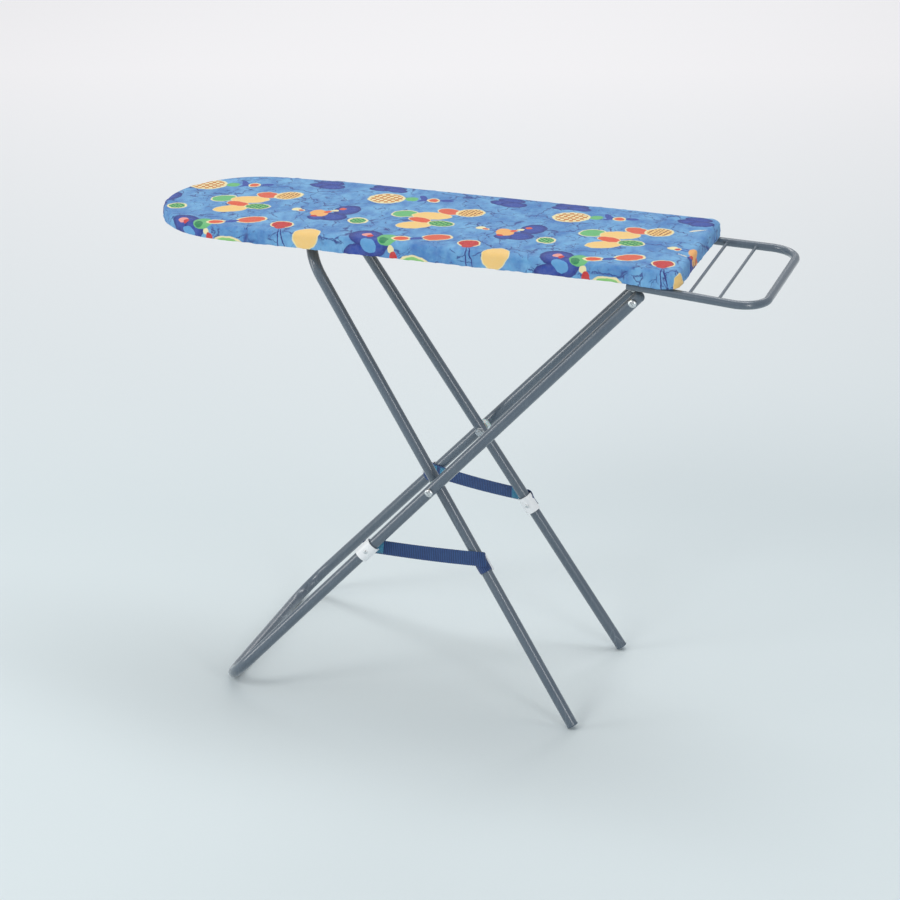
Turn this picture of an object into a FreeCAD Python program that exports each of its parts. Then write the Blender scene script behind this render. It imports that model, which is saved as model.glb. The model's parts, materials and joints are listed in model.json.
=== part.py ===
import FreeCAD, Part
import math
import os
import re
import Sketcher

# A folding ironing board in millimetres. X runs along the board from its nose to the iron rest,
# Y across it, and Z up from the floor. Two crossed U-shaped tube frames carry the board.

DRIVING = {
    # board, pad and cover
    "overall_length": 1222.0,
    "board_length": 1059.0,
    "board_width": 330.0,
    "corner_radius": 18.0,
    "underside_height": 915.0,
    "panel_thickness": 12.0,
    "foam_thickness": 17.0,
    "cover_thickness": 1.0,
    "edge_rounding": 10.0,
    "hem_width": 10.0,
    # outer leg frame: floor bar under the nose end, open ends hinged under the rear end
    "leg_tube": 22.0,
    "leg_wall": 1.2,
    "hinge_inset": 92.0,
    "hinge_drop": 48.0,
    "outer_reach": 791.0,
    "outer_foot_half": 240.0,
    "outer_top_half": 127.0,
    "outer_bend": 78.0,
    "outer_tail": 14.0,
    # inner leg frame: cross bar under the nose end, open ends on the floor
    "bar_from_nose": 314.0,
    "inner_reach": 566.0,
    "inner_foot_half": 181.0,
    "inner_top_half": 104.0,
    "inner_bend": 75.0,
    "plug_flange": 3.0,
    # iron rest
    "rest_tube": 16.0,
    "rest_wall": 1.0,
    "rail_overlap": 99.0,
    "rail_screw_inset": 11.0,
    "rail_drop": 11.8,
    "rail_front_half": 150.3,
    "rail_end_half": 168.0,
    "rest_bend": 52.0,
    "wire_diameter": 6.0,
    "near_wire": 83.6,
    "far_wire": 139.5,
    # hinge bracket and bar catch
    "bracket_plate": 1.5,
    "bracket_width": 44.0,
    "bracket_screw_run": 12.0,
    "bracket_screw_half": 60.0,
    "ear_thickness": 2.5,
    "ear_gap": 3.0,
    "catch_roof": 3.75,
    "catch_gap": 0.25,
    "catch_width": 56.0,
    "catch_wall": 14.0,
    "catch_lip": 10.0,
    "catch_skirt": 4.0,
    "catch_seat": 8.0,
    # straps and their clips
    "strap_width": 30.0,
    "strap_thickness": 2.0,
    "strap_distance": 180.0,
    "strap_fit": 0.15,
    "strap_tail": 8.0,
    "clip_length": 36.0,
    "clip_thickness": 2.0,
    "clip_fit": 0.1,
    "clip_screw_length": 10.0,
    # bolts and screws
    "bolt_diameter": 8.0,
    "head_diameter": 16.5,
    "head_height": 4.6,
    "head_standoff": 0.9,
    "nut_size": 15.0,
    "nut_height": 6.5,
    "washer_thickness": 1.2,
    "thread_tail": 3.0,
    "slot_width": 2.0,
    "slot_depth": 1.6,
    "hole_fit": 0.05,
    "turning_fit": 0.08,
    "bolt_fit": 0.02,
    "seat_gap": 0.1,
    "spacer_diameter": 20.0,
    "screw_diameter": 3.5,
    "screw_head": 8.0,
    "screw_head_height": 2.4,
    "screw_bite": 9.0,
    "screw_head_room": 0.4,
    "screw_gap": 0.05,
}


def along(start, end, share):
    return start + (end - start) * share


def derived_sizes(given):
    # Positions and angles that follow from the driving sizes.
    out = {}
    radius = given["leg_tube"] / 2
    out["leg_radius"] = radius
    out["half_width"] = given["board_width"] / 2
    out["nose_tip"] = -given["overall_length"] / 2
    out["nose_centre"] = out["nose_tip"] + out["half_width"]
    out["rear_end"] = out["nose_tip"] + given["board_length"]
    for layer, inset in (("inner", given["cover_thickness"]), ("hem", given["hem_width"])):
        out[layer + "_half"] = out["half_width"] - inset
        out[layer + "_rear"] = out["rear_end"] - inset
        out[layer + "_corner"] = given["corner_radius"] - min(inset, given["corner_radius"] - 4)
    out["inner_rounding"] = given["edge_rounding"] - given["cover_thickness"]

    out["hinge_x"] = out["rear_end"] - given["hinge_inset"]
    out["hinge_height"] = given["underside_height"] - given["hinge_drop"]
    out["outer_foot_x"] = out["hinge_x"] - given["outer_reach"]
    outer_rise = out["hinge_height"] - radius
    out["outer_length"] = math.hypot(given["outer_reach"], outer_rise)
    out["outer_tilt"] = math.degrees(math.atan2(given["outer_reach"], outer_rise))
    outer_splay = given["outer_foot_half"] - given["outer_top_half"]
    out["outer_flare"] = math.degrees(math.atan2(outer_splay, out["outer_length"]))
    out["outer_end_level"] = out["outer_length"] + given["outer_tail"]
    end_share = out["outer_end_level"] / out["outer_length"]
    out["outer_end_half"] = along(given["outer_foot_half"], given["outer_top_half"], end_share)

    out["bar_x"] = out["nose_tip"] + given["bar_from_nose"]
    out["bar_height"] = given["underside_height"] - given["catch_roof"] - given["catch_gap"] - radius
    inner_splay = given["inner_foot_half"] - given["inner_top_half"]
    foot_height = radius / 2
    for _ in range(20):
        inner_drop = out["bar_height"] - foot_height
        length = math.hypot(given["inner_reach"], inner_drop)
        upright = inner_drop / math.hypot(length, inner_splay)
        foot_height = radius * math.sqrt(1 - upright ** 2)
    out["inner_length"] = length
    out["inner_turn"] = 180 - math.degrees(math.atan2(given["inner_reach"], inner_drop))
    out["inner_flare"] = math.degrees(math.atan2(inner_splay, length))
    out["inner_end_level"] = length - given["plug_flange"]
    end_share = out["inner_end_level"] / length
    out["inner_end_half"] = along(given["inner_top_half"], given["inner_foot_half"], end_share)

    # The frames cross where their centre lines meet, seen from the side.
    outer_slope = outer_rise / given["outer_reach"]
    inner_slope = inner_drop / given["inner_reach"]
    top_gap = out["bar_height"] - radius - outer_slope * (out["bar_x"] - out["outer_foot_x"])
    inner_run = top_gap / (outer_slope + inner_slope)
    out["pivot_x"] = out["bar_x"] + inner_run
    out["pivot_z"] = out["bar_height"] - inner_slope * inner_run
    inner_share = inner_run / given["inner_reach"]
    outer_share = (out["pivot_z"] - radius) / outer_rise
    out["inner_pivot_level"] = inner_share * length
    out["outer_pivot_level"] = outer_share * out["outer_length"]
    out["inner_pivot_half"] = along(given["inner_top_half"], given["inner_foot_half"], inner_share)
    out["outer_pivot_half"] = along(given["outer_foot_half"], given["outer_top_half"], outer_share)

    # The straps loop round both frames at the same distance below the pivot.
    out["outer_strap_level"] = out["outer_pivot_level"] - given["strap_distance"]
    out["inner_strap_level"] = out["inner_pivot_level"] + given["strap_distance"]
    outer_strap_share = out["outer_strap_level"] / out["outer_length"]
    inner_strap_share = out["inner_strap_level"] / length
    out["outer_strap_half"] = along(given["outer_foot_half"], given["outer_top_half"], outer_strap_share)
    out["inner_strap_half"] = along(given["inner_top_half"], given["inner_foot_half"], inner_strap_share)
    out["strap_start_x"] = out["outer_foot_x"] + outer_strap_share * given["outer_reach"]
    out["strap_start_z"] = radius + outer_strap_share * outer_rise
    strap_run = out["bar_x"] + inner_strap_share * given["inner_reach"] - out["strap_start_x"]
    strap_rise = out["bar_height"] - inner_strap_share * inner_drop - out["strap_start_z"]
    out["strap_pitch"] = -math.degrees(math.atan2(strap_rise, strap_run))
    side_step = radius + given["strap_fit"] + given["strap_thickness"] / 2
    out["strap_start_y"] = out["outer_strap_half"] - side_step
    strap_sway = out["inner_strap_half"] + side_step - out["strap_start_y"]
    flat_run = math.hypot(strap_run, strap_rise)
    out["strap_yaw"] = math.degrees(math.atan2(strap_sway, flat_run))
    out["strap_length"] = math.hypot(flat_run, strap_sway)

    rest_radius = given["rest_tube"] / 2
    out["rest_radius"] = rest_radius
    out["rest_bar_x"] = given["overall_length"] / 2 - rest_radius
    rail_front_z = given["underside_height"] - given["bracket_plate"] - rest_radius
    out["rest_bar_height"] = rail_front_z - given["rail_drop"]
    rail_run = out["rest_bar_x"] - (out["rear_end"] - given["rail_overlap"])
    out["rail_length"] = math.hypot(rail_run, given["rail_drop"])
    out["rest_turn"] = -math.degrees(math.atan2(rail_run, given["rail_drop"]))
    for wire in ("near_wire", "far_wire"):
        wire_share = given[wire] / out["rail_length"]
        out[wire + "_half"] = along(given["rail_end_half"], given["rail_front_half"], wire_share)
    out["rail_screw_x"] = out["rear_end"] - given["rail_overlap"] + given["rail_screw_inset"]
    screw_share = given["rail_screw_inset"] / rail_run
    out["rail_screw_half"] = along(given["rail_front_half"], given["rail_end_half"], screw_share)
    rail_slope = math.atan2(given["rail_drop"], rail_run)
    head_tilt = given["screw_head"] / 2 * math.tan(rail_slope)
    rail_under = rest_radius / math.cos(rail_slope) + head_tilt + given["screw_gap"]
    out["rail_screw_z"] = rail_front_z - screw_share * given["rail_drop"] - rail_under

    out["ear_outer"] = given["outer_top_half"] - radius - given["ear_gap"]
    out["ear_inner"] = out["ear_outer"] - given["ear_thickness"]
    return out


SIZES = dict(DRIVING)
SIZES.update(derived_sizes(DRIVING))

doc = FreeCAD.newDocument("IroningBoard")
sheet = doc.addObject("Spreadsheet::Sheet", "Sizes")
for row, (title, number) in enumerate(SIZES.items(), 1):
    sheet.set("A%d" % row, title)
    sheet.set("B%d" % row, "%.6f" % number)
    sheet.setAlias("B%d" % row, title)
doc.recompute()

Vector = FreeCAD.Vector
Constraint = Sketcher.Constraint
TURNS = {
    "Z": (Vector(0, 0, 1), 0),
    "Y": (Vector(1, 0, 0), -90),
    "-Y": (Vector(1, 0, 0), 90),
    "X": (Vector(0, 1, 0), 90),
}
FRAMES = {
    "outer": ("outer_foot_x", "leg_radius", "outer_tilt"),
    "inner": ("bar_x", "bar_height", "inner_turn"),
    "rest": ("rest_bar_x", "rest_bar_height", "rest_turn"),
    "strap": ("strap_start_x", "strap_start_z", "strap_pitch"),
}
NODES = []
THROUGH = "600"  # longer than any cut is deep


def bound(text):
    # Writes "leg_tube / 2" as "Sizes.leg_tube / 2".
    return re.sub(r"[a-z_]+", lambda m: "Sizes." + m.group() if m.group() in SIZES else m.group(), text)


def bind(item, **expressions):
    for prop, text in expressions.items():
        item.setExpression(prop, bound(text))


def put(item, at=("0", "0", "0"), direction="Z"):
    item.Placement = FreeCAD.Placement(Vector(), FreeCAD.Rotation(*TURNS[direction]))
    for letter, text in zip("xyz", at):
        item.setExpression("Placement.Base." + letter, bound(text))
    return item


def lean(item, axis, text):
    item.Placement = FreeCAD.Placement(Vector(), FreeCAD.Rotation(axis, 1))
    item.setExpression("Placement.Rotation.Angle", bound(text))
    return item


def in_frame(item, frame):
    x, z, turn = FRAMES[frame]
    lean(item, Vector(0, 1, 0), turn)
    item.setExpression("Placement.Base.x", bound(x))
    item.setExpression("Placement.Base.z", bound(z))
    return item


def box(name, sizes, at):
    item = doc.addObject("Part::Box", name)
    bind(item, Length=sizes[0], Width=sizes[1], Height=sizes[2])
    return put(item, at)


def cylinder(name, radius, height, at=("0", "0", "0"), direction="Z"):
    item = doc.addObject("Part::Cylinder", name)
    bind(item, Radius=radius, Height=height)
    return put(item, at, direction)


def dome(name, radius, height, at=("0", "0", "0"), direction="Z"):
    item = doc.addObject("Part::Ellipsoid", name)
    item.Angle1 = 0
    bind(item, Radius1=height, Radius2=radius, Radius3=radius)
    return put(item, at, direction)


def hexagon(name, size, height, at, direction):
    item = doc.addObject("Part::Prism", name)
    item.Polygon = 6
    bind(item, Circumradius=size + " / 2", Height=height)
    return put(item, at, direction)


def fuse(name, items):
    item = doc.addObject("Part::MultiFuse", name)
    item.Shapes = items
    return item


def group(name, items):
    item = doc.addObject("Part::Compound", name)
    item.Links = items
    return item


def cut(name, base, tools):
    item = doc.addObject("Part::Cut", name)
    item.Base = base
    item.Tool = tools[0] if len(tools) == 1 else fuse(name + "_tools", tools)
    return item


def mirror(name, source):
    item = doc.addObject("Part::Mirroring", name)
    item.Source = source
    item.Normal = Vector(0, 1, 0)
    return item


def both_sides(name, source):
    return group(name, [source, mirror(name + "_mirrored", source)])


def node(item, label):
    item.Label = label
    NODES.append(item)
    return item


def origin_plane(body, role):
    return [feature for feature in body.Origin.OriginFeatures if feature.Role == role][0]


def outline_body(name, half, rear, corner, thickness, base_z, rounding=None):
    # A plate with a half-round nose and a square rear end with rounded corners.
    body = doc.addObject("PartDesign::Body", name)
    sketch = body.newObject("Sketcher::SketchObject", name + "_outline")
    sketch.AttachmentSupport = (origin_plane(body, "XY_Plane"), [""])
    sketch.MapMode = "FlatFace"
    up = Vector(0, 0, 1)
    w, x, r, c = SIZES[half], SIZES[rear], SIZES[corner], SIZES["nose_centre"]
    quarter = math.pi / 2
    sketch.addGeometry([
        Part.LineSegment(Vector(c, w, 0), Vector(x - r, w, 0)),
        Part.ArcOfCircle(Part.Circle(Vector(x - r, w - r, 0), up, r), 0, quarter),
        Part.LineSegment(Vector(x, w - r, 0), Vector(x, r - w, 0)),
        Part.ArcOfCircle(Part.Circle(Vector(x - r, r - w, 0), up, r), -quarter, 0),
        Part.LineSegment(Vector(x - r, -w, 0), Vector(c, -w, 0)),
        Part.ArcOfCircle(Part.Circle(Vector(c, 0, 0), up, w), quarter, 3 * quarter),
    ], False)
    sketch.addConstraint([
        Constraint("Tangent", 0, 2, 1, 2),
        Constraint("Tangent", 1, 1, 2, 1),
        Constraint("Tangent", 2, 2, 3, 2),
        Constraint("Tangent", 3, 1, 4, 1),
        Constraint("Tangent", 4, 2, 5, 2),
        Constraint("Tangent", 5, 1, 0, 1),
        Constraint("Horizontal", 0),
        Constraint("Horizontal", 4),
        Constraint("Vertical", 2),
        Constraint("Equal", 1, 3),
        Constraint("PointOnObject", 5, 3, -1),
        Constraint("Radius", 1, r),
        Constraint("Radius", 5, w),
        Constraint("DistanceX", -1, 1, 5, 3, c),
        Constraint("DistanceX", -1, 1, 2, 1, x),
    ])
    for index, text in ((11, corner), (12, half), (13, "nose_centre"), (14, rear)):
        sketch.setExpression("Constraints[%d]" % index, bound(text))
    pad = body.newObject("PartDesign::Pad", name + "_plate")
    pad.Profile = sketch
    bind(pad, Length=thickness)
    doc.recompute()
    if rounding:
        top = pad.Shape.BoundBox.ZMax
        edges = ["Edge%d" % n for n, edge in enumerate(pad.Shape.Edges, 1)
                 if edge.BoundBox.ZMin > top - 0.01]
        fillet = body.newObject("PartDesign::Fillet", name + "_rounding")
        fillet.Base = (pad, edges)
        bind(fillet, Radius=rounding)
    body.setExpression("Placement.Base.z", bound(base_z))
    return body


def u_tube(name, bar_half, end_half, length, bend, tube, wall, frame):
    # A U bent from one tube: its bar lies at level 0 and its legs run up to their open ends.
    body = doc.addObject("PartDesign::Body", name)
    path = body.newObject("Sketcher::SketchObject", name + "_path")
    path.AttachmentSupport = (origin_plane(body, "YZ_Plane"), [""])
    path.MapMode = "FlatFace"
    b, e, h, r = SIZES[bar_half], SIZES[end_half], SIZES[length], SIZES[bend]
    leg = Vector(b - e, h, 0).normalize()
    setback = r / math.tan(leg.getAngle(Vector(1, 0, 0)) / 2)
    leg_end = Vector(-b, 0, 0) + leg * setback
    bar_end = Vector(setback - b, 0, 0)
    centre = Vector(setback - b, r, 0)
    lift = leg_end - centre
    start = math.pi + math.atan2(-lift.y, -lift.x)
    up = Vector(0, 0, 1)
    path.addGeometry([
        Part.LineSegment(Vector(-e, h, 0), leg_end),
        Part.ArcOfCircle(Part.Circle(centre, up, r), start, 1.5 * math.pi),
        Part.LineSegment(bar_end, Vector(-bar_end.x, 0, 0)),
        Part.ArcOfCircle(Part.Circle(Vector(-centre.x, r, 0), up, r), -0.5 * math.pi, math.pi - start),
        Part.LineSegment(Vector(-leg_end.x, leg_end.y, 0), Vector(e, h, 0)),
    ], False)
    path.addGeometry([Part.Point(Vector(-b, 0, 0))], True)
    path.addConstraint([
        Constraint("Tangent", 0, 2, 1, 1),
        Constraint("Tangent", 1, 2, 2, 1),
        Constraint("Tangent", 2, 2, 3, 1),
        Constraint("Tangent", 3, 2, 4, 1),
        Constraint("Symmetric", 0, 1, 4, 2, -2),
        Constraint("Symmetric", 2, 1, 2, 2, -2),
        Constraint("Equal", 1, 3),
        Constraint("Radius", 1, r),
        Constraint("DistanceX", 0, 1, -1, 1, e),
        Constraint("DistanceY", -1, 1, 0, 1, h),
        Constraint("PointOnObject", 2, 1, -1),
        Constraint("DistanceX", 5, 1, -1, 1, b),
        Constraint("PointOnObject", 5, 1, -1),
        Constraint("PointOnObject", 5, 1, 0),
    ])
    for index, text in ((7, bend), (8, end_half), (9, length), (11, bar_half)):
        path.setExpression("Constraints[%d]" % index, bound(text))
    doc.recompute()
    ring = body.newObject("Sketcher::SketchObject", name + "_ring")
    ring.AttachmentSupport = (path, ["Edge1"])
    ring.MapMode = "NormalToEdge"
    ring.MapPathParameter = 0
    diameters = [tube] if wall is None else [tube, "%s - 2 * %s" % (tube, wall)]
    for number, text in enumerate(diameters):
        ring.addGeometry(Part.Circle(Vector(), up, SIZES[tube] / 2 - number), False)
        ring.addConstraint(Constraint("Coincident", number, 3, -1, 1))
        fixed = ring.addConstraint(Constraint("Diameter", number, SIZES[tube] - 2 * number))
        ring.setExpression("Constraints[%d]" % fixed, bound(text))
    doc.recompute()
    pipe = body.newObject("PartDesign::AdditivePipe", name + "_pipe")
    pipe.Profile = ring
    pipe.Spine = (path, ["Edge%d" % number for number in range(1, 6)])
    return in_frame(body, frame)


def leg_wise(name, items, level, half, flare):
    # Items drawn about their own Z axis, set on the leg's axis on the +Y side of a frame.
    item = lean(group(name, items), Vector(1, 0, 0), flare)
    item.setExpression("Placement.Base.y", bound(half))
    item.setExpression("Placement.Base.z", bound(level))
    return item


def domed_bolt(name, half, level, inner_end):
    # A bolt along Y with a slotted, domed head outside the tube on the +Y side.
    seat = "%s + leg_radius + head_standoff" % half
    shank = cylinder(name + "_shank", "bolt_diameter / 2", "%s - (%s)" % (seat, inner_end),
                     ("0", inner_end, level), "Y")
    head = dome(name + "_head", "head_diameter / 2", "head_height", ("0", seat, level), "Y")
    slot = box(name + "_slot", ("head_diameter", "head_height", "slot_width"),
               ("-head_diameter / 2", "%s + head_height - slot_depth" % seat, "%s - slot_width / 2" % level))
    return cut(name, fuse(name + "_solid", [shank, head]), [slot])


def ring_on_y(name, outer, inner, start, end, level):
    body = cylinder(name + "_body", outer, "(%s) - (%s)" % (end, start), ("0", start, level), "Y")
    hole = cylinder(name + "_hole", inner, "(%s) - (%s) + 2" % (end, start),
                    ("0", "%s - 1" % start, level), "Y")
    return cut(name, body, [hole])


def nut(name, face, level):
    # A hexagon nut whose face looks outwards, towards +Y.
    body = hexagon(name + "_body", "nut_size", "nut_height", ("0", face, level), "-Y")
    hole = cylinder(name + "_hole", "bolt_diameter / 2 + bolt_fit", "nut_height + 2",
                    ("0", "%s + 1" % face, level), "-Y")
    return cut(name, body, [hole])


def upright_screw(name, x, y, seat, length):
    # A round-headed screw driven upwards, its head seated at the given height.
    shank = cylinder(name + "_shank", "screw_diameter / 2", length, (x, y, seat))
    head = dome(name + "_head", "screw_head / 2", "screw_head_height", (x, y, seat))
    head.Placement = FreeCAD.Placement(Vector(), FreeCAD.Rotation(Vector(1, 0, 0), 180))
    return fuse(name, [shank, head])


def screw_set(name, places, seat, length, depth):
    # Screws through one thickness into the panel, and the holes that take them.
    screws = [upright_screw("%s_%d" % (name, n), x, y, seat, "%s + screw_bite" % length)
              for n, (x, y) in enumerate(places)]
    holes = [cylinder("%s_hole_%d" % (name, n), screw_hole, "%s + screw_bite + 3" % depth,
                      (x, y, "%s - 1" % seat)) for n, (x, y) in enumerate(places)]
    return group(name, screws), group(name + "_holes", holes)


screw_hole = "screw_diameter / 2 + hole_fit"
bolt_hole = "bolt_diameter / 2 + bolt_fit"

# Screws up into the panel
bracket_places = [("hinge_x %s bracket_screw_run" % x_sign, "%sbracket_screw_half" % y_sign)
                  for x_sign in "+-" for y_sign in ("", "-")]
rail_places = [("rail_screw_x", "%srail_screw_half" % sign) for sign in ("", "-")]
catch_places = [("bar_x - leg_radius - catch_gap - catch_wall / 2", "%scatch_width / 3" % sign)
                for sign in ("", "-")]
bracket_seat = "underside_height - bracket_plate"
bracket_screws, bracket_holes = screw_set(
    "bracket_screws", bracket_places, bracket_seat, "bracket_plate", "bracket_plate")
rail_length = "underside_height - rail_screw_z"
rail_screws, rail_holes = screw_set("rail_screws", rail_places, "rail_screw_z", rail_length, rail_length)
catch_head = "underside_height - catch_seat"
catch_screws, catch_holes = screw_set("catch_screws", catch_places, catch_head, "catch_seat", "catch_seat")
catch_sinks = [cylinder("catch_sink_%d" % n, "screw_head / 2 + screw_head_room", "catch_wall",
                        (x, y, catch_head + " - catch_wall")) for n, (x, y) in enumerate(catch_places)]

# Board panel, foam pad and fitted cover
panel = outline_body("panel", "inner_half", "inner_rear", "inner_corner", "panel_thickness",
                     "underside_height")
node(cut("panel_drilled", panel, [bracket_holes, rail_holes, catch_holes]), "board_panel")
pad_base = "underside_height + panel_thickness"
foam = outline_body("foam", "inner_half", "inner_rear", "inner_corner", "foam_thickness",
                    pad_base, "inner_rounding")
node(foam, "foam_pad")
skin = outline_body("skin", "half_width", "rear_end", "corner_radius",
                    "panel_thickness + foam_thickness + 2 * cover_thickness",
                    "underside_height - cover_thickness", "edge_rounding")
filling = outline_body("filling", "inner_half", "inner_rear", "inner_corner",
                       "panel_thickness + foam_thickness", "underside_height", "inner_rounding")
mouth = outline_body("mouth", "hem_half", "hem_rear", "hem_corner", "2 * cover_thickness",
                     "underside_height - 2 * cover_thickness + 0.5")
node(cut("cover", skin, [filling, mouth]), "board_cover")

# Iron rest: a U of tube with two cross wires welded between its rails
rest = u_tube("rest", "rail_end_half", "rail_front_half", "rail_length", "rest_bend",
              "rest_tube", "rest_wall", "rest")
node(cut("rest_drilled", rest, [rail_holes]), "iron_rest_frame")
rest_core = u_tube("rest_core", "rail_end_half", "rail_front_half", "rail_length", "rest_bend",
                   "rest_tube", None, "rest")
wires = [cylinder(level, "wire_diameter / 2", "2 * %s_half" % level, ("0", "-%s_half" % level, level), "Y")
         for level in ("near_wire", "far_wire")]
wires_whole = in_frame(group("wires_whole", wires), "rest")
node(cut("wires", wires_whole, [rest_core]), "rest_cross_wires")
node(rail_screws, "rest_screws")

# Hinge bracket: a plate across the panel with an ear for each outer leg
plate = box("plate", ("bracket_width", "2 * hem_half - 1", "bracket_plate"),
            ("hinge_x - bracket_width / 2", "0.5 - hem_half", bracket_seat))
ear_flat = box("ear_flat", ("leg_tube", "ear_thickness", "hinge_drop - bracket_plate / 2"),
               ("hinge_x - leg_radius", "ear_inner", "hinge_height"))
ear_round = cylinder("ear_round", "leg_radius", "ear_thickness", ("hinge_x", "ear_inner", "hinge_height"),
                     "Y")
ears = both_sides("ears", fuse("ear", [ear_flat, ear_round]))
hinge_hole = cylinder("hinge_hole", "bolt_diameter / 2 + turning_fit", "2 * outer_top_half",
                      ("hinge_x", "-outer_top_half", "hinge_height"), "Y")
node(cut("bracket", fuse("bracket_whole", [plate, ears]), [hinge_hole, bracket_holes, rail_holes]),
     "hinge_bracket")
node(bracket_screws, "bracket_screws")

# Bar catch: a block whose open hollow takes the inner frame's cross bar from the rear side
catch_reach = "leg_radius + catch_gap"
catch_depth = "(catch_roof + leg_radius + catch_skirt)"
catch_block = box("catch_block", (catch_reach + " + catch_wall + catch_lip", "catch_width", catch_depth),
                  ("bar_x - leg_radius - catch_gap - catch_wall", "-catch_width / 2",
                   "underside_height - " + catch_depth))
catch_hollow = cylinder("catch_hollow", catch_reach, "catch_width + 2",
                        ("bar_x", "-catch_width / 2 - 1", "bar_height"), "Y")
catch_mouth = box("catch_mouth", ("leg_tube + catch_lip", "catch_width + 2", "leg_tube + " + catch_reach),
                  ("bar_x", "-catch_width / 2 - 1", "bar_height - leg_tube"))
node(cut("catch", catch_block, [catch_hollow, catch_mouth, catch_holes] + catch_sinks), "bar_catch")
node(catch_screws, "catch_screws")

# Outer leg frame with its hinge and pivot hardware
outer = u_tube("outer", "outer_foot_half", "outer_end_half", "outer_end_level", "outer_bend",
               "leg_tube", "leg_wall", "outer")
outer_core = u_tube("outer_core", "outer_foot_half", "outer_end_half", "outer_end_level", "outer_bend",
                    "leg_tube", None, "outer")
bolt_holes = [cylinder("outer_%s_hole" % name, "bolt_diameter / 2 + hole_fit", THROUGH,
                       ("0", "-%s / 2" % THROUGH, level), "Y")
              for name, level in (("hinge", "outer_length"), ("pivot", "outer_pivot_level"))]
outer_spot = ("outer_strap_level", "outer_strap_half", "outer_flare")
outer_clip_hole = leg_wise("outer_clip_hole", [cylinder(
    "outer_clip_drill", screw_hole, "strap_width", direction="Y")], *outer_spot)
outer_clip_holes = both_sides("outer_clip_holes", outer_clip_hole)
outer_holes = in_frame(group("outer_holes", bolt_holes + [outer_clip_holes]), "outer")
node(cut("outer_drilled", outer, [outer_holes]), "outer_leg_frame")

cap = fuse("cap", [dome("cap_dome", "leg_radius", "9"),
                   cylinder("cap_stem", "leg_radius - leg_wall - hole_fit", "8", ("0", "0", "-8"))])
caps = leg_wise("cap_set", [cap], "outer_end_level", "outer_end_half", "outer_flare")
node(in_frame(both_sides("caps", caps), "outer"), "outer_leg_caps")

hinge_end = "ear_inner - nut_height - thread_tail"
hinge_bolt = domed_bolt("hinge_bolt", "outer_top_half", "outer_length", hinge_end)
node(in_frame(both_sides("hinge_bolts", hinge_bolt), "outer"), "hinge_bolts")
hinge_washer = ring_on_y("hinge_washer", "nut_size / 2", bolt_hole, "ear_outer + seat_gap",
                         "outer_top_half - nut_size / 2", "outer_length")
node(cut("hinge_washers", in_frame(both_sides("hinge_washer_pair", hinge_washer), "outer"), [outer_core]),
     "hinge_washers")
node(in_frame(both_sides("hinge_nuts", nut("hinge_nut", "ear_inner - seat_gap", "outer_length")), "outer"),
     "hinge_nuts")

pivot_face = "inner_pivot_half - leg_radius - head_standoff"
pivot_end = pivot_face + " - washer_thickness - nut_height - thread_tail"
node(in_frame(both_sides("pivot_bolts", domed_bolt("pivot_bolt", "outer_pivot_half", "outer_pivot_level",
                                                   pivot_end)), "outer"), "pivot_bolts")
spacer = ring_on_y("spacer", "spacer_diameter / 2", bolt_hole,
                   "inner_pivot_half + leg_radius + head_standoff", "outer_pivot_half - leg_radius / 2",
                   "outer_pivot_level")
node(cut("spacers", in_frame(both_sides("spacer_pair", spacer), "outer"), [outer_core]), "pivot_spacers")
pivot_washer = ring_on_y("pivot_washer", "head_diameter / 2", bolt_hole, pivot_face + " - washer_thickness",
                         pivot_face, "outer_pivot_level")
node(in_frame(both_sides("pivot_washers", pivot_washer), "outer"), "pivot_washers")
node(in_frame(both_sides("pivot_nuts", nut("pivot_nut", pivot_face + " - washer_thickness",
                                           "outer_pivot_level")), "outer"), "pivot_nuts")

# Inner leg frame with its foot plugs
inner = u_tube("inner", "inner_top_half", "inner_end_half", "inner_end_level", "inner_bend",
               "leg_tube", "leg_wall", "inner")
inner_pivot_hole = cylinder("inner_pivot_hole", "bolt_diameter / 2 + turning_fit", THROUGH,
                            ("0", "-%s / 2" % THROUGH, "inner_pivot_level"), "Y")
inner_spot = ("inner_strap_level", "inner_strap_half", "-inner_flare")
inner_clip_hole = leg_wise("inner_clip_hole", [cylinder(
    "inner_clip_drill", screw_hole, "strap_width", direction="-Y")], *inner_spot)
inner_clip_holes = both_sides("inner_clip_holes", inner_clip_hole)
inner_holes = in_frame(group("inner_holes", [inner_pivot_hole, inner_clip_holes]), "inner")
node(cut("inner_drilled", inner, [inner_holes]), "inner_leg_frame")

plug = fuse("plug", [cylinder("plug_flange_disc", "leg_radius", "plug_flange"),
                     cylinder("plug_stem", "leg_radius - leg_wall - hole_fit", "leg_tube",
                              ("0", "0", "-leg_tube"))])
plugs = leg_wise("plug_set", [plug], "inner_end_level", "inner_end_half", "-inner_flare")
node(in_frame(both_sides("plugs", plugs), "inner"), "foot_plugs")

# Straps: a loop round each leg and a flat band between the loops
loop_radius = "leg_radius + strap_fit"


def loop(name, level, half, flare):
    ring = cylinder(name + "_ring", loop_radius + " + strap_thickness", "strap_width",
                    ("0", "0", "-strap_width / 2"))
    return leg_wise(name, [ring], level, half, flare)


def leg_gap(name, level, half, flare):
    gap = cylinder(name + "_gap", loop_radius, "4 * strap_width", ("0", "0", "-2 * strap_width"))
    return leg_wise(name, [gap], level, half, flare)


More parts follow.
